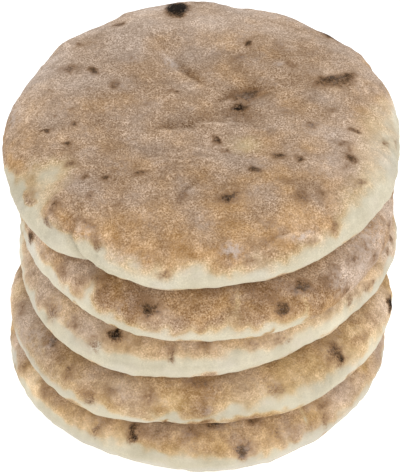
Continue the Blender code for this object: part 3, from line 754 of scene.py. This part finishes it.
def relief(node, seed):
    """Height in millimetres along the normal: swells, lumps, rim pleats, blisters and creases. It also paints shade
    into the creases, and a shadow beside each fold and a highlight on its ridge, into the shade tone.
    """
    crust = crusts[node]
    grid, reach = crust["grid"], crust["reach"]
    away = np.hypot(grid[..., 0], grid[..., 1])
    on_top = node == "top_pita"
    pressed = np.where(reach > 0, 0.0 if on_top else 1.0, 1.0) * (1.0 - smooth_step(away, 56.0, 64.0))
    upright = np.stack((grid[..., 0], grid[..., 1], 0.3 * reach), axis=-1)
    rim = np.exp(-((reach / 9.0) ** 2))
    height = (1.0 - 0.8 * rim) * (0.38 * ripple(grid, 34.0, seed) + 0.20 * ripple(grid, 13.0, seed + 1))
    height += 0.07 * ripple(grid, 5.0, seed + 2)
    height += rim * (0.12 * ripple(upright, 9.0, seed + 3) + 0.07 * ripple(upright, 4.0, seed + 4))
    height += 0.35 * np.clip(crust["scorch"], 0.0, 1.0) - 0.25 * (1.0 - crust["bake"]) * (reach > 2)
    creases = sum(depth * crease(node, line, half_width) for line, half_width, depth in CREASES[node])
    # Painted shade in the creases: they are darkened as well as sunk.
    crust["shade"] = crust["shade"] + 0.3 * np.clip(creases, 0.0, 0.8)
    # Painted shadow on the strip beside each fold and a painted highlight on its ridge.
    for line, half_width, lift, shadow_paint, highlight_paint in FOLDS.get(node, ()):
        bell, strip = fold(node, line, half_width)
        height += lift * (bell - 0.6 * strip)
        crust["shade"] += shadow_paint * strip - highlight_paint * bell
    return (height - creases) * (1.0 - pressed)


for number, node in enumerate(STACK):
    crust = crusts[node]
    height = relief(node, 400 + 10 * number)
    crust["shape"] = crust["grid"] + height[..., None] * crust["normal"]
    print(node, "relief from", round(float(height.min()), 2), "to", round(float(height.max()), 2), "mm")

# %% [markdown]
# ## From grid to mesh
# The grid becomes quads between neighbouring rows and columns, and the last column joins the first, so there is no
# seam. One point closes the foot and one closes the crown with a fan of triangles. The tones are stored on the
# points as named attributes, which the materials read, so a colour stays on its own place on the crust.

# %% Build one bread
def grid_faces(rows, columns):
    """Quads over a grid that closes on itself sideways, and triangles to a last-but-one and a last point."""
    index = np.arange(rows * columns).reshape(rows, columns)
    right = np.roll(index, -1, axis=1)
    quads = np.stack((index[:-1], right[:-1], right[1:], index[1:]), axis=-1).reshape(-1, 4)
    foot, crown = rows * columns, rows * columns + 1
    foot_fan = np.stack((right[0], index[0], np.full(columns, foot)), axis=-1)
    crown_fan = np.stack((index[-1], right[-1], np.full(columns, crown)), axis=-1)
    return quads.tolist() + foot_fan.tolist() + crown_fan.tolist()


# The shade tone holds painted shade and painted light as well as darker and lighter crust.
TONES = ("bake", "golden", "ashen", "scorch", "flour", "shade")


def build_bread(node, name):
    """A closed mesh object at the origin with the bread's place in its points, and one attribute for each tone."""
    crust = crusts[node]
    rows, columns = crust["reach"].shape
    shape = crust["shape"]
    poles = np.stack((shape[0].mean(axis=0), shape[-1].mean(axis=0)))
    places = (np.concatenate((shape.reshape(-1, 3), poles)) + outlines[node]["middle"]) * MM
    floor = outlines[node]["middle"][2] - outlines[node]["drop"]
    places[:, 2] = np.maximum(places[:, 2], floor * MM)
    mesh = bpy.data.meshes.new(name)
    mesh.from_pydata(places, [], grid_faces(rows, columns))
    mesh.shade_smooth()
    for tone in TONES:
        values = np.concatenate((crust[tone].ravel(), (crust[tone][0].mean(), crust[tone][-1].mean())))
        attribute = mesh.attributes.new(tone, "FLOAT", "POINT")
        attribute.data.foreach_set("value", np.clip(values, -2.0, 2.0).astype(np.float32))
    bread = bpy.data.objects.new(name, mesh)
    bpy.context.scene.collection.objects.link(bread)
    return bread


PIECES = {node: node.replace("_pita", "_baked_bread") for node in STACK}
breads = {node: build_bread(node, name) for node, name in PIECES.items()}
for node, bread in breads.items():
    triangles = sum(len(face.vertices) - 2 for face in bread.data.polygons)
    print(bread.name, "triangles:", triangles)

# %% [markdown]
# ## Effects shared by all the crusts
# Every bread has the same kinds of finish in different amounts, so each effect is a node group with named inputs,
# built once and placed in five materials. The first one gives the sandy look of semolina and flour baked on the
# crust: a fine grain, a coarser mottle, and thinly strewn pale specks.

# %% Node helpers
def new_group(name, inputs, outputs):
    """A shader node group with its sockets, and its input and output nodes. Inputs are (name, kind, default)."""
    group = bpy.data.node_groups.new(name, "ShaderNodeTree")
    for label, kind, default in inputs:
        socket = group.interface.new_socket(label, in_out="INPUT", socket_type="NodeSocket" + kind)
        if default is not None:
            socket.default_value = default
    for label, kind in outputs:
        group.interface.new_socket(label, in_out="OUTPUT", socket_type="NodeSocket" + kind)
    return group, group.nodes.new("NodeGroupInput").outputs, group.nodes.new("NodeGroupOutput").inputs


def plug(tree, socket, value):
    """Links a socket to another node's output, or sets it to a plain value."""
    if isinstance(value, bpy.types.NodeSocket):
        tree.links.new(value, socket)
    else:
        socket.default_value = value


def sums(tree, operation, first, second, third=None, clamp=False):
    """A Math node's output."""
    node = tree.nodes.new("ShaderNodeMath")
    node.operation = operation
    node.use_clamp = clamp
    for socket, value in zip(node.inputs, (first, second, third)):
        if value is not None:
            plug(tree, socket, value)
    return node.outputs[0]


def ramp(tree, value, low, high, start=0.0, end=1.0):
    """A Map Range node that goes smoothly from start at low to end at high."""
    node = tree.nodes.new("ShaderNodeMapRange")
    node.interpolation_type = "SMOOTHSTEP"
    for label, item in (("Value", value), ("From Min", low), ("From Max", high), ("To Min", start), ("To Max", end)):
        plug(tree, node.inputs[label], item)
    return node.outputs["Result"]


def blend_colours(tree, share, first, second, mode="MIX"):
    """A Mix node for colours."""
    node = tree.nodes.new("ShaderNodeMix")
    node.data_type = "RGBA"
    node.blend_type = mode
    node.clamp_factor = True
    plug(tree, node.inputs["Factor"], share)
    plug(tree, node.inputs["A"], first)
    plug(tree, node.inputs["B"], second)
    return node.outputs["Result"]


def noise(tree, vector, scale, detail=2.0, roughness=0.55):
    """A Noise Texture's value, near 0.5 on average."""
    node = tree.nodes.new("ShaderNodeTexNoise")
    plug(tree, node.inputs["Vector"], vector)
    plug(tree, node.inputs["Scale"], scale)
    node.inputs["Detail"].default_value = detail
    node.inputs["Roughness"].default_value = roughness
    return node.outputs["Fac"]


def lightened(tree, colour, amount):
    """The colour made lighter by an amount on the eye's scale, so its hue stays: (c^(1/2.2) + amount)^2.2."""
    seen = tree.nodes.new("ShaderNodeGamma")
    seen.inputs["Gamma"].default_value = 1.0 / 2.2
    plug(tree, seen.inputs["Color"], colour)
    moved = tree.nodes.new("ShaderNodeVectorMath")
    plug(tree, moved.inputs[0], seen.outputs["Color"])
    plug(tree, moved.inputs[1], amount)
    held = tree.nodes.new("ShaderNodeVectorMath")
    held.operation = "MAXIMUM"
    plug(tree, held.inputs[0], moved.outputs["Vector"])
    held.inputs[1].default_value = (0.02, 0.02, 0.02)
    back = tree.nodes.new("ShaderNodeGamma")
    back.inputs["Gamma"].default_value = 2.2
    plug(tree, back.inputs["Color"], held.outputs["Vector"])
    return back.outputs["Color"]


# %% Group: sandy grain
grain_group, given, made = new_group(
    "Sandy grain",
    [("Vector", "Vector", None), ("Grain size", "Float", 0.0009), ("Mottle size", "Float", 0.004)],
    [("Grain", "Float"), ("Mottle", "Float"), ("Specks", "Float")],
)
per_grain = sums(grain_group, "DIVIDE", 1.0, given["Grain size"])
per_mottle = sums(grain_group, "DIVIDE", 1.0, given["Mottle size"])
fine = noise(grain_group, given["Vector"], per_grain, 1.0, 0.7)
patchy = noise(grain_group, given["Vector"], per_mottle, 3.0, 0.95)
strewn = noise(grain_group, given["Vector"], sums(grain_group, "MULTIPLY", per_grain, 0.72), 0.0)
plug(grain_group, made["Grain"], ramp(grain_group, fine, 0.15, 0.85, -1.0, 1.0))
plug(grain_group, made["Mottle"], ramp(grain_group, patchy, 0.28, 0.72, -1.0, 1.0))
plug(grain_group, made["Specks"], ramp(grain_group, strewn, 0.60, 0.72))
print("group:", grain_group.name)

# %% [markdown]
# The second effect is the oven's, and painted shade at its end. It mixes the pale dough, the plain crust, the golden
# and the ashen tone by the attributes on the points. The mottle moves the balance between golden and ashen, because
# on a real crust no tone is flat over more than a few millimetres. Last the shade attribute, which is partly painted
# shade and painted light, darkens or lightens the colour.

# %% Group: oven tones and painted shade
tones_group, given, made = new_group(
    "Oven tones and painted shade",
    [
        ("Bake", "Float", 1.0), ("Golden", "Float", 0.0), ("Ashen", "Float", 0.0), ("Grain", "Float", 0.0),
        ("Mottle", "Float", 0.0), ("Dough colour", "Color", None), ("Crust colour", "Color", None),
        ("Golden colour", "Color", None), ("Ashen colour", "Color", None), ("Edge colour", "Color", None),
        ("Chalk colour", "Color", None), ("Shade", "Float", 0.0), ("Grain depth", "Float", 0.06),
        ("Mottle depth", "Float", 0.04), ("Shade depth", "Float", 0.12),
    ],
    [("Color", "Color")],
)
warmer = sums(tones_group, "MULTIPLY_ADD", given["Mottle"], 0.10, given["Golden"], clamp=True)
cooler = sums(tones_group, "MULTIPLY_ADD", given["Mottle"], -0.10, given["Ashen"], clamp=True)
crusty = blend_colours(tones_group, warmer, given["Crust colour"], given["Golden colour"])
crusty = blend_colours(tones_group, cooler, crusty, given["Ashen colour"])
lightly = sums(tones_group, "MULTIPLY", cooler, 0.6)
chalky = blend_colours(tones_group, lightly, given["Dough colour"], given["Chalk colour"])
fringe = blend_colours(tones_group, lightly, given["Edge colour"], given["Ashen colour"])
graininess = sums(tones_group, "MULTIPLY", given["Grain"], given["Grain depth"])
graininess = sums(tones_group, "MULTIPLY", graininess, ramp(tones_group, warmer, 0.0, 1.0, 1.05, 0.75))
graininess = sums(tones_group, "MULTIPLY", graininess, ramp(tones_group, given["Mottle"], -1.0, 1.0, 0.65, 1.35))
blotches = sums(tones_group, "MULTIPLY", given["Mottle"], given["Mottle depth"])
broken = sums(tones_group, "MULTIPLY_ADD", given["Grain"], 0.03, given["Bake"])
broken = sums(tones_group, "MULTIPLY_ADD", given["Mottle"], 0.06, broken)
toasted = blend_colours(tones_group, ramp(tones_group, broken, 0.0, 0.50), chalky, fringe)
toasted = blend_colours(tones_group, ramp(tones_group, broken, 0.30, 0.90), toasted, crusty)
lightness = sums(tones_group, "ADD", graininess, blotches)
lightness = sums(tones_group, "MULTIPLY", lightness, ramp(tones_group, broken, 0.0, 0.7, 0.2, 1.0))
# The shade attribute, partly painted shade and painted light, darkens the colour (above 0) or lightens it (below 0).
lightness = sums(tones_group, "SUBTRACT", lightness, sums(tones_group, "MULTIPLY", given["Shade"], given["Shade depth"]))
plug(tones_group, made["Color"], lightened(tones_group, toasted, lightness))
print("group:", tones_group.name)

# %% [markdown]
# The third effect is scorching. The attribute is a smooth oval, but a real spot is ragged and gets darker in steps:
# first toasted brown, then dark, then nearly black. Noise is added to the mask before it is cut, so that grains at
# its edge are dark or light one by one.

# %% Group: scorching
scorch_group, given, made = new_group(
    "Scorching",
    [
        ("Color", "Color", None), ("Scorch", "Float", 0.0), ("Vector", "Vector", None), ("Grain", "Float", 0.0),
        ("Raggedness", "Float", 0.35), ("Brown", "Color", None), ("Dark", "Color", None), ("Black", "Color", None),
    ],
    [("Color", "Color"), ("Burnt", "Float")],
)
frayed = noise(scorch_group, given["Vector"], 800.0, 3.0, 0.8)
frayed = ramp(scorch_group, frayed, 0.2, 0.8, -1.0, 1.0)
frayed = sums(scorch_group, "MULTIPLY_ADD", given["Grain"], 0.8, frayed)
frayed = sums(scorch_group, "MULTIPLY", frayed, given["Raggedness"])
spread = sums(scorch_group, "POWER", given["Scorch"], 0.8)
edged = sums(scorch_group, "MULTIPLY_ADD", frayed, spread, given["Scorch"])
spot = blend_colours(scorch_group, ramp(scorch_group, edged, 0.0, 0.50, 0.0, 0.9), given["Color"], given["Brown"])
spot = blend_colours(scorch_group, ramp(scorch_group, edged, 0.30, 0.85, 0.0, 0.9), spot, given["Dark"])
burnt = ramp(scorch_group, edged, 0.90, 1.60, 0.0, 0.97)
plug(scorch_group, made["Color"], blend_colours(scorch_group, burnt, spot, given["Black"]))
plug(scorch_group, made["Burnt"], burnt)
print("group:", scorch_group.name)

# %% [markdown]
# The fourth effect is flour. It lies on the crust as a thin dust with a pinkish grey tint, caught by the grain: most
# where the attribute is high, and a few specks everywhere on the brown.

# %% Group: flour dust
flour_group, given, made = new_group(
    "Flour dust",
    [
        ("Color", "Color", None), ("Flour", "Float", 0.0), ("Specks", "Float", 0.0), ("Bake", "Float", 1.0),
        ("Burnt", "Float", 0.0), ("Vector", "Vector", None), ("Flour colour", "Color", None),
        ("Speck share", "Float", 0.2),
    ],
    [("Color", "Color")],
)
drift = ramp(flour_group, noise(flour_group, given["Vector"], 420.0, 4.0, 0.65), 0.35, 0.65)
lying = sums(flour_group, "MULTIPLY", given["Flour"], drift)
strewn = sums(flour_group, "MULTIPLY", given["Specks"], given["Speck share"])
strewn = sums(flour_group, "MULTIPLY", strewn, given["Bake"])
dusted = sums(flour_group, "ADD", lying, strewn, clamp=True)
clean = sums(flour_group, "SUBTRACT", 1.0, given["Burnt"], clamp=True)
dusted = sums(flour_group, "MULTIPLY", dusted, clean)
plug(flour_group, made["Color"], blend_colours(flour_group, dusted, given["Color"], given["Flour colour"]))
print("group:", flour_group.name)

# %% [markdown]
# The last effect is the fine relief, as a height in millimetres for a Bump node: grain on the brown crust, a soft
# leathery unevenness on the pale dough, and a slight sink where the spots are burnt.

# %% Group: crust height
height_group, given, made = new_group(
    "Crust height",
    [
        ("Vector", "Vector", None), ("Grain", "Float", 0.0), ("Mottle", "Float", 0.0), ("Bake", "Float", 1.0),
        ("Burnt", "Float", 0.0), ("Grain height", "Float", 0.05), ("Mottle height", "Float", 0.12),
    ],
    [("Height", "Float")],
)
rough = sums(height_group, "MULTIPLY", given["Grain"], given["Grain height"])
rough = sums(height_group, "MULTIPLY", rough, ramp(height_group, given["Bake"], 0.0, 1.0, 0.25, 1.0))
uneven = sums(height_group, "MULTIPLY", given["Mottle"], given["Mottle height"])
uneven = sums(height_group, "MULTIPLY", uneven, ramp(height_group, given["Bake"], 0.0, 1.0, 0.4, 1.0))
leathery = noise(height_group, given["Vector"], 900.0, 3.0, 0.6)
leathery = sums(height_group, "MULTIPLY", leathery, 0.05)
raised = sums(height_group, "ADD", sums(height_group, "ADD", rough, uneven), leathery)
plug(height_group, made["Height"], sums(height_group, "MULTIPLY_ADD", given["Burnt"], -0.10, raised))
print("group:", height_group.name)

# %% [markdown]
# ## Five crust materials
# Each bread gets its own material with its own values, because no two came out of the oven alike. The dough's pale
# cream and the golden tone are nearly the same on all of them. The plain crust runs from a greyish tan on the top
# bread to a deeper brown lower down. The surface is dry, so it is rough and has no coat.

# %% Colours of each crust, as red, green and blue in linear light
DOUGH = (0.588, 0.532, 0.398)
BROWN_SPOT = (0.27, 0.155, 0.082)
DARK_SPOT = (0.088, 0.049, 0.024)
BLACK_SPOT = (0.010, 0.006, 0.003)
CHALK = (0.62, 0.585, 0.515)
FLOUR = (0.66, 0.56, 0.50)
FINISHES = {
    "top_pita": {
        "crust": (0.425, 0.284, 0.181), "golden": (0.500, 0.300, 0.143), "ashen": (0.460, 0.342, 0.258),
        "edge": (0.580, 0.425, 0.245), "grain": 0.17,
    },
    "second_pita": {
        "crust": (0.334, 0.202, 0.110), "golden": (0.452, 0.274, 0.130), "ashen": (0.472, 0.347, 0.257),
        "edge": (0.560, 0.395, 0.212), "grain": 0.165,
    },
    "third_pita": {
        "crust": (0.495, 0.338, 0.210), "golden": (0.575, 0.388, 0.213), "ashen": (0.530, 0.400, 0.305),
        "edge": (0.620, 0.475, 0.300), "grain": 0.13,
    },
    "fourth_pita": {
        "crust": (0.404, 0.247, 0.120), "golden": (0.560, 0.377, 0.188), "ashen": (0.500, 0.370, 0.272),
        "edge": (0.610, 0.450, 0.255), "grain": 0.12,
    },
    "bottom_pita": {
        "crust": (0.412, 0.262, 0.146), "golden": (0.540, 0.348, 0.166), "ashen": (0.462, 0.332, 0.242),
        "edge": (0.600, 0.430, 0.238), "grain": 0.11,
    },
}


def place_group(tree, group, **values):
    """A node group placed in a material, with its inputs linked or set by name (underscores stand for spaces)."""
    node = tree.nodes.new("ShaderNodeGroup")
    node.node_tree = group
    for label, value in values.items():
        value = (*value, 1.0) if isinstance(value, tuple) and len(value) == 3 else value
        plug(tree, node.inputs[label.replace("_", " ")], value)
    return node.outputs


def crust_material(node, finish):
    """Tones, then scorching, then flour on the Base Color, and the crust's height through a Bump node."""
    material = bpy.data.materials.new(node.replace("pita", "baked_crust"))
    material.use_nodes = True
    tree = material.node_tree
    shader = tree.nodes["Principled BSDF"]
    shader.inputs["Roughness"].default_value = 0.85
    shader.inputs["Specular IOR Level"].default_value = 0.08
    here = tree.nodes.new("ShaderNodeTexCoord").outputs["Object"]
    tone = {}
    for name in TONES:
        reader = tree.nodes.new("ShaderNodeAttribute")
        reader.attribute_name = name
        tone[name] = reader.outputs["Fac"]
    grain = place_group(tree, grain_group, Vector=here, Grain_size=0.0006, Mottle_size=0.009)
    colour = place_group(
        tree, tones_group, Bake=tone["bake"], Golden=tone["golden"], Ashen=tone["ashen"], Grain=grain["Grain"],
        Mottle=grain["Mottle"], Dough_colour=DOUGH, Crust_colour=finish["crust"], Golden_colour=finish["golden"],
        Ashen_colour=finish["ashen"], Edge_colour=finish["edge"], Chalk_colour=CHALK, Shade=tone["shade"],
        Grain_depth=finish["grain"], Mottle_depth=0.062, Shade_depth=0.12,
    )
    spots = place_group(
        tree, scorch_group, Color=colour["Color"], Scorch=tone["scorch"], Vector=here, Grain=grain["Grain"],
        Raggedness=0.55, Brown=BROWN_SPOT, Dark=DARK_SPOT, Black=BLACK_SPOT,
    )
    dusted = place_group(
        tree, flour_group, Color=spots["Color"], Flour=tone["flour"], Specks=grain["Specks"], Bake=tone["bake"],
        Burnt=spots["Burnt"], Vector=here, Flour_colour=FLOUR, Speck_share=0.08,
    )
    plug(tree, shader.inputs["Base Color"], dusted["Color"])
    height = place_group(
        tree, height_group, Vector=here, Grain=grain["Grain"], Mottle=grain["Mottle"], Bake=tone["bake"],
        Burnt=spots["Burnt"], Grain_height=0.05, Mottle_height=0.10,
    )
    bump = tree.nodes.new("ShaderNodeBump")
    bump.inputs["Distance"].default_value = MM
    bump.inputs["Strength"].default_value = 0.8
    plug(tree, bump.inputs["Height"], height["Height"])
    plug(tree, shader.inputs["Normal"], bump.outputs["Normal"])
    return material


for node, bread in breads.items():
    bread.data.materials.append(crust_material(node, FINISHES[node]))
    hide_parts(node)
    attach(bread, "root")
    print(bread.name, "wears", bread.data.materials[0].name, "and stands for", node)

# %% [markdown]
# ## Floor and light
# The breads stand on a plain pale floor, in the even light of a white studio. Nearly all the light comes from all
# round, as it does from white walls, and one large soft lamp to the front and right shapes the rims a little. The
# floor also glows faintly, like a lit table, so that it stays white and lights the lower rims.

# %% Floor, world and lamp
def pale_floor(radius, rings=6, around=96):
    """A flat disc half a millimetre under the stack: rings of points at radius r_i (cos a, sin a)."""
    angle = np.linspace(0.0, 2.0 * np.pi, around, endpoint=False)
    away = radius * np.geomspace(0.02, 1.0, rings)
    places = np.empty((rings, around, 3))
    places[..., 0] = away[:, None] * np.cos(angle)
    places[..., 1] = away[:, None] * np.sin(angle)
    places[..., 2] = -0.5 * MM
    index = np.arange(rings * around).reshape(rings, around)
    right = np.roll(index, -1, axis=1)
    quads = np.stack((index[:-1], index[1:], right[1:], right[:-1]), axis=-1).reshape(-1, 4)
    mesh = bpy.data.meshes.new("floor")
    mesh.from_pydata(places.reshape(-1, 3), [], quads.tolist() + [index[0].tolist()])
    floor = bpy.data.objects.new("floor", mesh)
    bpy.context.scene.collection.objects.link(floor)
    return floor


floor = pale_floor(4.0)
floor_paint = bpy.data.materials.new("pale_floor")
floor_paint.use_nodes = True
paint = floor_paint.node_tree.nodes["Principled BSDF"]
paint.inputs["Base Color"].default_value = (0.85, 0.85, 0.85, 1.0)
paint.inputs["Roughness"].default_value = 1.0
paint.inputs["Specular IOR Level"].default_value = 0.0
paint.inputs["Emission Color"].default_value = (1.0, 1.0, 1.0, 1.0)
paint.inputs["Emission Strength"].default_value = 0.58
floor.data.materials.append(floor_paint)

world = bpy.data.worlds.new("white_studio")
bpy.context.scene.world = world
world.use_nodes = True
world.node_tree.nodes["Background"].inputs["Color"].default_value = (1.0, 1.0, 1.0, 1.0)
world.node_tree.nodes["Background"].inputs["Strength"].default_value = 0.80

lamp = bpy.data.objects.new("softbox", bpy.data.lights.new("softbox", "AREA"))
bpy.context.scene.collection.objects.link(lamp)
lamp.data.shape = "DISK"
lamp.data.size = 1.2
lamp.data.energy = 8.0
lamp.location = (0.50, -1.20, 1.30)
aim = TARGET - np.array(lamp.location)
lamp.rotation_euler = (math.acos(aim[2] / np.linalg.norm(aim)) - math.pi, 0.0, math.atan2(-aim[0], aim[1]) + math.pi)
lamp.visible_camera = False
bpy.context.scene.view_settings.view_transform = "Standard"
print("lamp turned by", [round(math.degrees(value), 1) for value in lamp.rotation_euler])
